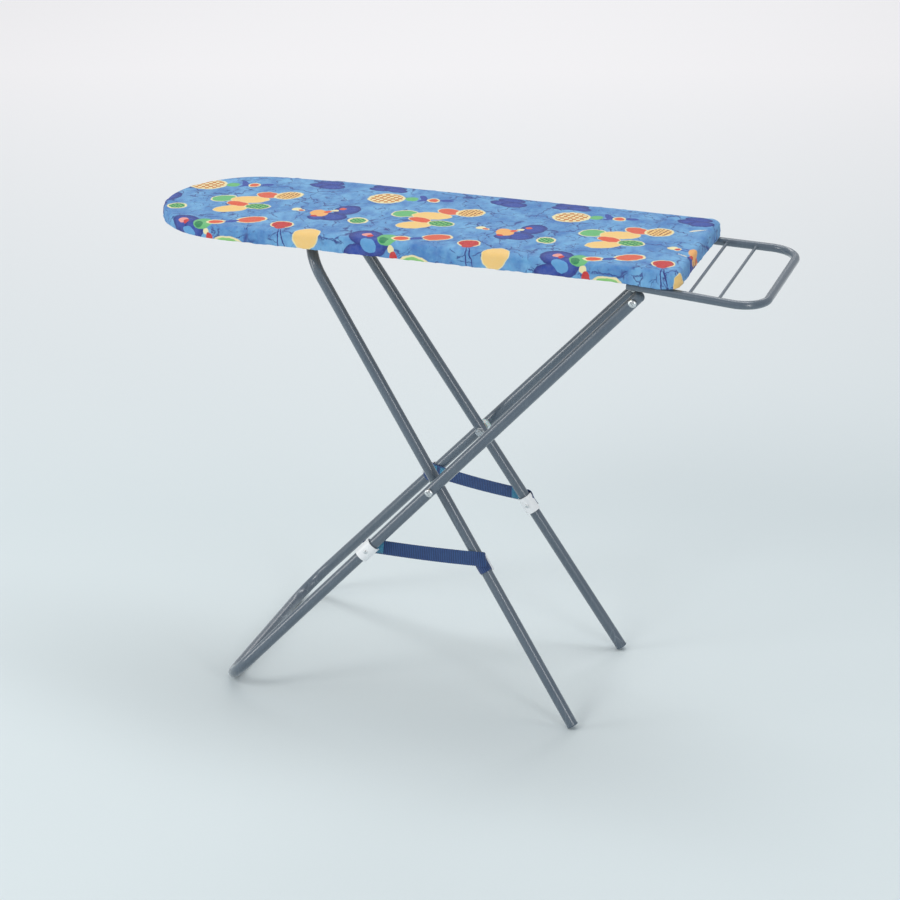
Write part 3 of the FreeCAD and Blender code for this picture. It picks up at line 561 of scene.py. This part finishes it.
def cover_shape(low, high, spacing):
    """The cover's points, faces and flat places. The pad thins to the nose, and the hem is gathered."""
    outline = Outline(low, high, spacing)
    height = high.z - low.z
    points, flats = [], []
    for share, inset, drop, beyond, gather in cover_profile(height):
        stations = zip(outline.points, outline.normals, outline.spine, outline.lengths)
        for edge, normal, spine, length in stations:
            base = edge - normal * inset
            spot = base.lerp(spine, share)
            flat = (edge + normal * beyond).lerp(spine, share)
            at_nose = smooth(spot.x, low.x + NOSE_TAPER, low.x)
            at_rear = smooth(edge.x, high.x - 0.12, high.x - 0.05)
            curved = max(at_rear, smooth(edge.x, low.x + 0.13, low.x + 0.02))
            thin = 1 - COVER_THINNING * at_nose
            z = low.z + (height - drop) * thin
            if share == 0.0 or gather > 0:
                fine = ripple(length, outline.total, 0.011, 3.1) * (0.35 + 0.9 * curved)
                broad = ripple(length, outline.total, 0.055, 8.4) * (0.6 + 0.7 * curved)
                push = gather * (0.0012 + 0.0008 * fine + 0.0009 * broad)
                if inset <= 0.003:
                    spot = spot + normal * push
                z += gather * smooth(drop, 0.4 * height, height) * (0.0012 * fine - 0.0010 * abs(broad))
                if drop >= height - 0.001:
                    z -= 0.0006 * (1 + fine) * curved
            # The rear end hangs loose: it is tight at its middle and bulges at both corners.
            rear_edge = smooth(edge.x, high.x - 0.03, high.x) * normal.x
            middle = math.exp(-((edge.y - 0.02) / 0.055) ** 2)
            slack = smooth(drop, 0.0, 0.5 * height) * (1 - smooth(share, 0.0, 0.3))
            spot.x += rear_edge * slack * (0.0022 * (1 - middle) * (spot.y > 0) - 0.0008)
            near_corner = math.exp(-((edge.x - high.x + 0.045) / 0.045) ** 2) * (edge.y < -0.12)
            z -= 0.0035 * near_corner * smooth(drop, 0.3 * height, height)
            # The top is soft: slow hollows, and a fold that runs in from the middle of the rear edge.
            top = 1 - smooth(drop, 0.0, EDGE_ROUNDING)
            slow = noise.noise(Vector((spot.x * 9, spot.y * 11, 2.7)))
            z += top * (0.0010 * slow - 0.0008)
            reach = Vector((spot.x - high.x - 0.02, spot.y - 0.015)).length
            fold = math.exp(-((reach - 0.085) / 0.012) ** 2) * smooth(spot.x, high.x - 0.085, high.x - 0.03)
            z -= top * 0.0022 * fold
            points.append(Vector((spot.x, spot.y, z)))
            flats.append((flat.x, flat.y))
    rows = len(points) // len(outline.points)
    return points, grid_faces(rows, len(outline.points), closed_columns=True), flats


def weld(piece, distance):
    """Joins the vertices that meet on the spine, and drops the faces that this closes up."""
    mesh = bmesh.new()
    mesh.from_mesh(piece.data)
    bmesh.ops.remove_doubles(mesh, verts=mesh.verts, dist=distance)
    bmesh.ops.dissolve_degenerate(mesh, edges=mesh.edges, dist=1e-6)
    bmesh.ops.recalc_face_normals(mesh, faces=mesh.faces)
    mesh.to_mesh(piece.data)
    mesh.free()


def wrinkled(points, rows, growth, frames, cap):
    """Blender's Cloth on the cover's skirt: cut a little too large for the pad, it wrinkles.

    The skirt is held along its upper edge and its hem. It never moves inwards, nor further than the cap.
    """
    count = len(points) // len(rows)
    first = TOP_ROWS
    skirt_rows = rows[first:]
    faces = grid_faces(len(skirt_rows), count, closed_columns=True)
    skirt = mesh_piece("skirt", points[first * count:], faces, bpy.data.materials.new("skirt"))
    held = skirt.vertex_groups.new(name="held")
    for number, row in enumerate(skirt_rows):
        weight = 1.0 if number < 2 or number >= len(skirt_rows) - 2 else max(0.0, 0.8 - 5 * row[4])
        held.add(list(range(number * count, (number + 1) * count)), weight, "REPLACE")
    before = np.array([vertex.co for vertex in skirt.data.vertices])
    normals = np.array([vertex.normal for vertex in skirt.data.vertices])
    if normals[:, 2][:count].mean() < 0:
        normals = -normals
    cloth = skirt.modifiers.new("simulation", "CLOTH")
    cloth.settings.quality = 4
    cloth.settings.mass = 0.15
    cloth.settings.tension_stiffness = cloth.settings.compression_stiffness = 20.0
    cloth.settings.shear_stiffness = 6.0
    cloth.settings.bending_stiffness = 1.0
    cloth.settings.vertex_group_mass = "held"
    cloth.settings.shrink_min = -growth
    cloth.settings.effector_weights.gravity = 0.0
    cloth.collision_settings.use_collision = False
    cloth.point_cache.frame_start, cloth.point_cache.frame_end = 1, frames
    for number in range(1, frames + 1):
        bpy.context.scene.frame_set(number)
    settled = skirt.evaluated_get(bpy.context.evaluated_depsgraph_get())
    moved = np.array([vertex.co for vertex in settled.data.vertices]) - before
    bpy.data.objects.remove(skirt)
    bpy.context.scene.frame_set(1)
    lanes = moved.reshape(len(skirt_rows), count, 3)
    for _ in range(2):
        lanes = (np.roll(lanes, 1, 1) + 2 * lanes + np.roll(lanes, -1, 1)) / 4
    moved = lanes.reshape(-1, 3)
    inward = np.minimum(0.0, np.sum(moved * normals, axis=1))
    moved -= inward[:, None] * normals
    reach = np.linalg.norm(moved, axis=1)
    moved *= (np.minimum(1.0, cap / np.maximum(reach, 1e-9)))[:, None]
    return points[:first * count] + [Vector(point) for point in before + moved]


def make_cover(material):
    points, faces, flats = cover_shape(COVER_LOW, COVER_HIGH, 0.004)
    rows = cover_profile(COVER_HIGH.z - COVER_LOW.z)
    points = wrinkled(points, rows, SKIRT_GROWTH, SKIRT_FRAMES, WRINKLE_CAP)
    cover = mesh_piece("cover_cloth", points, faces, material, flats)
    weld(cover, 0.00002)
    solid = cover.modifiers.new("cloth", "SOLIDIFY")
    solid.thickness = CLOTH
    solid.offset = -1.0
    return cover


def make_foam(material):
    """The foam inside the cover: the same outline one layer in, closed underneath."""
    outline = Outline(FOAM_LOW, FOAM_HIGH, 0.007)
    height = FOAM_HIGH.z - FOAM_LOW.z
    points = []
    rows = [(1.0, 0.0, 0.0), (0.75, 0.0, 0.0), (0.5, 0.0, 0.0), (0.25, 0.0, 0.0)]
    for number in range(6):
        angle = math.pi / 2 * number / 5
        rows.append((0.0, 0.009 * (1 - math.sin(angle)), 0.009 * (1 - math.cos(angle))))
    rows += [(0.0, 0.0006, height * 0.75), (0.0, 0.0, height), (0.5, 0.0, height), (1.0, 0.0, height)]
    for share, inset, drop in rows:
        for edge, normal, spine in zip(outline.points, outline.normals, outline.spine):
            spot = (edge - normal * (inset + 0.0012)).lerp(spine, share)
            thin = 1 - FOAM_THINNING * smooth(spot.x, FOAM_LOW.x + NOSE_TAPER, FOAM_LOW.x)
            dent = 0.0004 * noise.noise(Vector((spot.x * 60, spot.y * 60, drop * 100)))
            points.append((spot.x, spot.y, FOAM_LOW.z + (height - drop - 0.0025) * thin + 0.0004 + dent))
    foam = mesh_piece("foam_cushion", points, grid_faces(len(rows), len(outline.points), closed_columns=True),
                      material)
    weld(foam, 0.0004)
    return foam


def make_hem_stitches(material):
    """A row of stitches along the hem, under the board."""
    outline = Outline(COVER_LOW, COVER_HIGH, 0.001)
    bundle = Bundle()
    step, stitch = 5, 3
    for start in range(0, len(outline.points) - step, step):
        path = []
        for number in range(start, start + stitch + 1):
            spot = outline.points[number] - outline.normals[number] * 0.0095
            lift = 0.0002 if number in (start, start + stitch) else -0.0004
            path.append((spot.x, spot.y, COVER_LOW.z + lift - 0.0006))
        bundle.tube(path, 0.00028, 5)
    return bundle.piece("hem_stitches", material)


# ---------------------------------------------------------------- straps

CLIP_HALF = 0.018        # half of a clip's length along its leg
STRAP_BELOW = 0.180      # from the pivot down each leg to the strap's loops
HEAD_STACK = 0.0165      # tube radius, gap and bolt head, beside each pivot and hinge bolt
WEB_WIDTH, WEB_THICK, RIB = 0.0285, 0.0016, 0.0036
LOOP_RADIUS = TUBE_RADIUS + 0.0010
BAND_RADIUS = LOOP_RADIUS + WEB_THICK + 0.0001
SAG, BOW = 0.0022, 0.0012                # how far the middle of the band hangs down, and stands out
OUTER_CURL, INNER_CURL = 0.016, 0.019    # how far the band's ends go round the legs

# How far up the outer and the inner leg the ends of the band are pulled, on the near (-1) and far side (1)
RAISED = {-1: (0.004, 0.017), 1: (0.016, 0.009)}

# Where each bar tack starts and ends: the first two from the outer leg, the last one back from the inner leg
OUTER_TACK, CURL_TACK, INNER_TACK = (0.013, 0.026), (-0.011, 0.006), (0.036, 0.014)


def side_reach(node):
    """The highest Y of a node."""
    return max(vertex.co.y for vertex in frame["nodes"][node].data.vertices)


def leg_point(down, pivot_half, slope, side, distance):
    """A point on a leg's axis that far below the pivot, and the leg's direction there."""
    axis = Vector((down.x, side * slope, down.z)).normalized()
    return PIVOT + down * distance + Vector((0, side * (pivot_half + slope * distance), 0)), axis


def strap_ends(side):
    """Each leg's (loop centre, band centre, axis) on one side. The bands are pulled a little up the legs."""
    outer_up, inner_up = RAISED[side]
    outer_down = (PIVOT - HINGE).normalized()
    hinge_half = side_reach("hinge_bolts") - HEAD_STACK
    outer_half = side_reach("pivot_bolts") - HEAD_STACK
    outer_slope = (outer_half - hinge_half) / (PIVOT - HINGE).length
    low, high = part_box("inner_leg_frame")
    bar = Vector((low.x + TUBE_RADIUS, 0, high.z - TUBE_RADIUS))
    inner_down = (PIVOT - bar).normalized()
    inner_half = side_reach("pivot_washers") + HEAD_STACK - 0.0046
    inner_slope = (side_reach("inner_strap_clips") - inner_half) / (STRAP_BELOW + CLIP_HALF)
    ends = []
    for leg, raised in (((outer_down, outer_half, outer_slope), outer_up),
                        ((inner_down, inner_half, inner_slope), inner_up)):
        loop, axis = leg_point(*leg, side, STRAP_BELOW)
        ends.append((loop, loop - axis * raised, axis))
    return ends


def web_strip(bundle, flats, stations, closed=False):
    """Webbing through stations of (centre, face normal, width direction, length so far)."""
    first = len(bundle.points)
    shares = [-1, -0.96, -0.88, -0.6, -0.2, 0.2, 0.6, 0.88, 0.96, 1]
    for centre, normal, across, length in stations:
        wave = math.cos(math.tau * length / RIB)
        swell, half = 0.5 * WEB_THICK * (1 + 0.3 * wave), 0.5 * WEB_WIDTH + 0.0003 * wave
        for face in (1, -1):
            for share in shares if face > 0 else reversed(shares):
                edge = 0.35 if abs(share) == 1 else (0.8 if abs(share) > 0.9 else 1.0)
                thick = (0.55 * WEB_THICK if abs(share) > 0.85 else swell) * edge
                bundle.points.append(centre + across * share * half + normal * face * thick)
                flats.append((length, share * WEB_WIDTH / 2))
    count = 2 * len(shares)
    bundle.faces += grid_faces(len(stations), count, closed_rows=closed, closed_columns=True, first=first)
    if not closed:
        bundle.faces.append(tuple(first + number for number in reversed(range(count))))
        last = first + (len(stations) - 1) * count
        bundle.faces.append(tuple(last + number for number in range(count)))


class Strap:
    """One side's strap: a straight band whose ends curl round the two legs, and a loop round each leg."""

    def __init__(self, side):
        self.side = side
        outer_leg, inner_leg = strap_ends(side)
        self.outer_loop, self.outer, self.outer_axis = outer_leg
        self.inner_loop, self.inner, self.inner_axis = inner_leg
        inward = Vector((0, -side, 0))
        along = (self.inner - self.outer).normalized()
        for _ in range(6):
            self.outer_face = self.square_to(self.outer_axis, along, inward)
            self.inner_face = self.square_to(self.inner_axis, along, -inward)
            self.start = self.outer + self.outer_face * BAND_RADIUS
            self.end = self.inner + self.inner_face * BAND_RADIUS
            along = (self.end - self.start).normalized()
        self.along = along
        self.length = (self.end - self.start).length

    def square_to(self, axis, along, wanted):
        """The direction square to a leg and to the band, on the wanted side."""
        face = axis.cross(along).normalized()
        return face if face.dot(wanted) > 0 else -face

    def station(self, run):
        """(centre, face normal, width direction) that far along the band. Its ends curl round the legs."""
        if 0 <= run <= self.length:
            share = run / self.length
            normal = self.outer_face.lerp(-self.inner_face, smooth(share, 0.0, 1.0)).normalized()
            sag = math.sin(math.pi * share)
            centre = self.start.lerp(self.end, share) + Vector((0, 0, -SAG)) * sag + normal * BOW * sag
            ahead = self.along + Vector((0, 0, -SAG)) * math.pi / self.length * math.cos(math.pi * share)
            return centre, normal, ahead.normalized().cross(normal).normalized()
        at_end = run > self.length
        beyond = run - self.length if at_end else run
        axis = self.inner_axis if at_end else self.outer_axis
        face = self.inner_face if at_end else self.outer_face
        slide = self.along.dot(axis)
        forward = (self.along - axis * slide).normalized()
        angle = beyond * math.sqrt(1 - slide * slide) / BAND_RADIUS
        outward = face * math.cos(angle) + forward * math.sin(angle)
        turning = forward * math.cos(angle) - face * math.sin(angle)
        base = self.inner if at_end else self.outer
        centre = base + axis * slide * beyond + outward * BAND_RADIUS
        ahead = turning * math.sqrt(1 - slide * slide) + axis * slide
        normal = -outward if at_end else outward
        return centre, normal, ahead.cross(normal).normalized()

    def band(self, material):
        bundle, flats = Bundle(), []
        step = RIB / 6
        count = round((OUTER_CURL + self.length + INNER_CURL) / step)
        runs = [number * step - OUTER_CURL for number in range(count + 1)]
        web_strip(bundle, flats, [(*self.station(run), run) for run in runs])
        for centre, axis in ((self.outer_loop, self.outer_axis), (self.inner_loop, self.inner_axis)):
            side = axis.orthogonal().normalized()
            up = axis.cross(side)
            ribs = round(math.tau * LOOP_RADIUS / RIB)
            turns = 6 * ribs
            stations = []
            for number in range(turns):
                angle = math.tau * number / turns
                normal = side * math.cos(angle) + up * math.sin(angle)
                spot = centre + normal * (LOOP_RADIUS - 0.00005)
                stations.append((spot, normal, axis, RIB * number / 6))
            web_strip(bundle, flats, stations, closed=True)
        name = "strap_near_webbing" if self.side < 0 else "strap_far_webbing"
        return mesh_piece(name, bundle.points, bundle.faces, material, flats)

    def tack(self, bundle, start, end, face, reach=0.86):
        """A bar tack: dense zigzag thread over one face of the band."""
        pitch = 0.0011
        path = []
        for number in range(round((end - start) / pitch)):
            run = start + number * pitch
            centre, normal, across = self.station(run)
            lift = normal * face * (WEB_THICK * 0.62 + 0.0001)
            sign = reach if number % 2 else -reach
            for share in (-1.0, -0.33, 0.33, 1.0):
                path.append(centre + lift + across * share * sign * WEB_WIDTH / 2)
        bundle.tube(path, 0.00042, 5)


def make_strap(side, webbing, thread):
    strap = Strap(side)
    band = strap.band(webbing)
    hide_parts("strap_near" if side < 0 else "strap_far")
    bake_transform(band)
    word = "near" if side < 0 else "far"
    outer_tack, inner_tack = Bundle(), Bundle()
    for face in (1, -1):
        strap.tack(outer_tack, *OUTER_TACK, face)
    strap.tack(outer_tack, *CURL_TACK, 1)
    strap.tack(inner_tack, strap.length - INNER_TACK[0], strap.length - INNER_TACK[1], 1)
    for bundle, body, place in ((outer_tack, "outer_legs", "outer"), (inner_tack, "inner_legs", "inner")):
        stitches = bundle.piece("strap_%s_%s_stitches" % (word, place), thread)
        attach(stitches, body)


# ---------------------------------------------------------------- small metal pieces

def make_weld_beads(material):
    """The bead round each end of the two cross wires, where they meet the rails."""
    bundle = Bundle()
    wire = 0.003
    mesh = frame["nodes"]["rest_cross_wires"].data
    for x in (WIRES_LOW.x + wire, WIRES_HIGH.x - wire):
        ends = [vertex.co for vertex in mesh.vertices if abs(vertex.co.x - x) < wire * 1.2]
        reach = max(point.y for point in ends)
        z = (max(point.z for point in ends) + min(point.z for point in ends)) / 2
        for side in (-1, 1):
            bundle.ring((x, side * (reach - 0.0016), z), (0, 1, 0), wire + 0.0003, 0.0011)
    return bundle.piece("rest_weld_beads", material)


# ---------------------------------------------------------------- floor, light and camera

def make_floor():
    """A plain pale floor with painted light: its colour grows lighter along one fixed direction, the farther it
    lies from the camera's viewpoint.
    """
    size = 14.0
    floor = mesh_piece("floor", [(-size, -size, 0), (size, -size, 0), (size, size, 0), (-size, size, 0)],
                       [(0, 1, 2, 3)], floor_material())


def floor_material():
    look = Look("pale_floor", Specular_IOR_Level=0.15)
    place = look.object_place
    # painted light: the floor is coloured paler the farther it lies along this fixed direction from the camera
    painted_light_run = look.vector("DOT_PRODUCT", place, (-math.sin(AZIMUTH), math.cos(AZIMUTH), 0.0))
    tone = look.mix(look.step(painted_light_run, 0.8, 4.4), colour(219, 229, 232), colour(255, 254, 255))
    grain = look.mix(0.97, colour(0, 0, 0), tone)
    tone = look.mix(look.noise(place, 240.0, 3.0), grain, tone)
    look.surface(Base_Color=tone, Roughness=look.step(look.noise(place, 60.0), 0.3, 0.7, 0.7, 0.8))
    return look.material


def area_light(name, place, aim, size, power, tint=(1.0, 1.0, 1.0)):
    data = bpy.data.lights.new(name, "AREA")
    data.shape, data.size, data.size_y = "RECTANGLE", size[0], size[1]
    data.energy, data.color = power, tint
    lamp = bpy.data.objects.new(name, data)
    lamp.location = place
    lamp.rotation_euler = (Vector(aim) - Vector(place)).to_track_quat("-Z", "Y").to_euler()
    bpy.context.scene.collection.objects.link(lamp)


def make_lights():
    world = bpy.data.worlds.new("studio")
    world.use_nodes = True
    background = world.node_tree.nodes["Background"]
    background.inputs["Color"].default_value = (0.95, 0.975, 1.0, 1.0)
    background.inputs["Strength"].default_value = 0.52
    bpy.context.scene.world = world
    area_light("key", (-2.0, -3.2, 3.6), (0, 0, 0.6), (1.3, 1.3), 46.0, (1.0, 0.985, 0.96))
    area_light("left", (-3.6, -1.8, 1.3), (0, 0, 0.5), (1.1, 2.2), 34.0, (1.0, 0.99, 0.97))
    area_light("right", (3.0, -2.6, 1.6), (0, 0, 0.5), (0.8, 2.2), 30.0)
    area_light("overhead", (0.4, 0.9, 4.4), (0, 0, 0.5), (3.4, 0.8), 46.0)
    area_light("backdrop", (-1.6, 5.6, 5.0), (-1.4, 5.4, 0), (6.0, 2.0), 105.0, (1.0, 0.97, 0.97))


def make_camera():
    target, distance, elevation = Vector((-0.039, 0.0, 0.4704)), 5.985, math.radians(22.75)
    flat = math.cos(elevation)
    back = Vector((math.sin(AZIMUTH) * flat, -math.cos(AZIMUTH) * flat, math.sin(elevation)))
    data = bpy.data.cameras.new("camera")
    data.lens, data.sensor_width = 122.63, 36.0
    camera = bpy.data.objects.new("camera", data)
    camera.location = target + back * distance
    camera.rotation_euler = (-back).to_track_quat("-Z", "Y").to_euler()
    bpy.context.scene.collection.objects.link(camera)
    bpy.context.scene.camera = camera
    bpy.context.scene.view_settings.view_transform = "Standard"


# ---------------------------------------------------------------- putting it together

def paint_nodes():
    """Gives every CAD node its detailed material."""
    looks = {
        "frame_paint": powder_coat(),
        "zinc": bright_zinc(),
        "cap_plastic": moulded_plastic("cap_plastic", colour(78, 92, 106), colour(94, 108, 120), 0.45),
        "white_plastic": moulded_plastic("white_plastic", colour(226, 230, 234), colour(246, 248, 250), 0.3),
        "clear_plastic": moulded_plastic("clear_plastic", colour(200, 210, 212), colour(226, 234, 235), 0.28,
                                         Subsurface_Weight=0.3),
        "catch_plastic": moulded_plastic("catch_plastic", colour(34, 36, 40), colour(52, 55, 60), 0.55),
        "panel_wood": particle_board(),
        "webbing": webbing_cloth(),
        "foam": open_foam(),
        "cover_fabric": printed_cotton(),
    }
    for entry in frame["record"]["subparts"]:
        node = frame["nodes"][entry["node"]]
        node.data.materials.clear()
        node.data.materials.append(looks[entry["material_slot"]])
    return looks


make_camera()
make_lights()
make_floor()
looks = paint_nodes()

cover = make_cover(looks["cover_fabric"])
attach(cover, "board")
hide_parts("board_cover")

foam = make_foam(looks["foam"])
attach(foam, "board")
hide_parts("foam_pad")

hem_thread = sewing_thread("hem_thread", 150.0, colour(70, 118, 180), colour(126, 172, 220), 0.5)
stitches = make_hem_stitches(hem_thread)
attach(stitches, "board")

beads = make_weld_beads(looks["frame_paint"])
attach(beads, "board")

teal_thread = sewing_thread("teal_thread", 240.0, colour(36, 128, 172), colour(100, 192, 220), 0.45)
for side in (-1, 1):
    make_strap(side, looks["webbing"], teal_thread)
